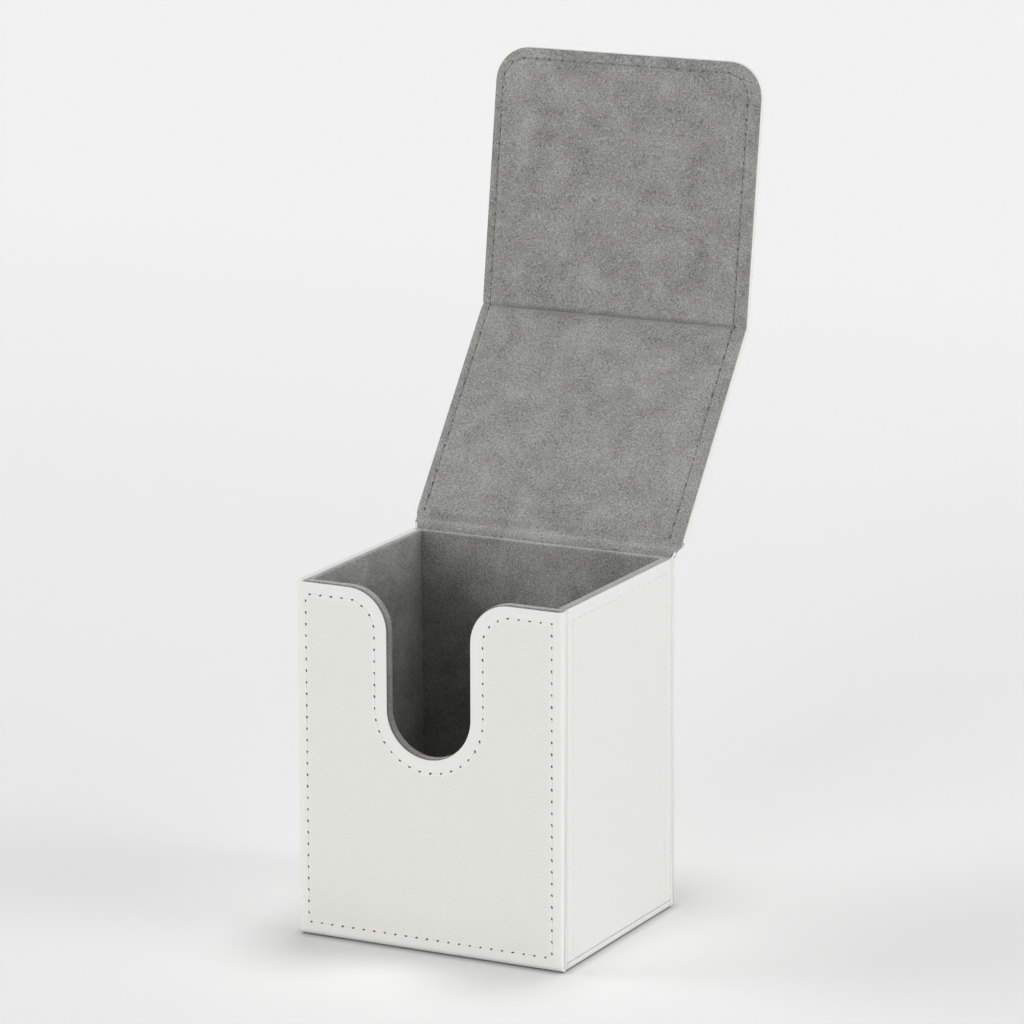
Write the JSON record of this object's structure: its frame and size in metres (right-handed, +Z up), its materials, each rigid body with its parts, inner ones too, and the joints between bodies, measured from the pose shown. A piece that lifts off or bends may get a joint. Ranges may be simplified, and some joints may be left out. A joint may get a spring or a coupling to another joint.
{
  "type": "flip-lid card deck box",
  "caption": "Upright card box in white leatherette with grey suede lining, a U thumb notch in front, a fabric-hinged lid and a folding closing flap.",
  "frame": {"origin": "middle of the underside of the box, on the surface it stands on", "axes": "+Z up, the front wall with the thumb notch faces -Y, +X to the right seen from the front"},
  "size_m": [0.0814, 0.1229, 0.2249],
  "materials": {
    "white_leatherette": "embossed matte",
    "grey_suede": "brushed nap",
    "greyboard": "plain",
    "magnet_nickel": "plated"
  },
  "bodies": {
    "box": {"front_board": "greyboard", "back_board": "greyboard", "left_board": "greyboard", "right_board": "greyboard", "base_board": "greyboard", "front_skin": "white_leatherette", "back_skin": "white_leatherette", "left_skin": "white_leatherette", "right_skin": "white_leatherette", "base_skin": "white_leatherette", "front_lining": "grey_suede", "back_lining": "grey_suede", "left_lining": "grey_suede", "right_lining": "grey_suede", "base_lining": "grey_suede", "front_magnets": "magnet_nickel"},
    "lid": {"lid_board": "greyboard", "lid_skin": "white_leatherette", "lid_lining": "grey_suede", "lid_hinge_skin": "white_leatherette", "lid_hinge_lining": "grey_suede"},
    "flap": {"flap_board": "greyboard", "flap_skin": "white_leatherette", "flap_lining": "grey_suede", "flap_magnets": "magnet_nickel", "flap_hinge_skin": "white_leatherette", "flap_hinge_lining": "grey_suede"}
  },
  "joints": [
    {"name": "lid_hinge", "type": "hinge", "parent": "box", "child": "lid", "pos_m": [0, 0.03355, 0.0986], "axis": [-1, 0, 0], "range_deg": [-128, 97], "deforming": ["lid_hinge_skin", "lid_hinge_lining"]},
    {"name": "flap_fold", "type": "hinge", "parent": "lid", "child": "flap", "pos_m": [0, 0.07728, 0.1527], "axis": [-1, 0, 0], "range_deg": [-60, 90], "deforming": ["flap_hinge_skin", "flap_hinge_lining"]}
  ]
}
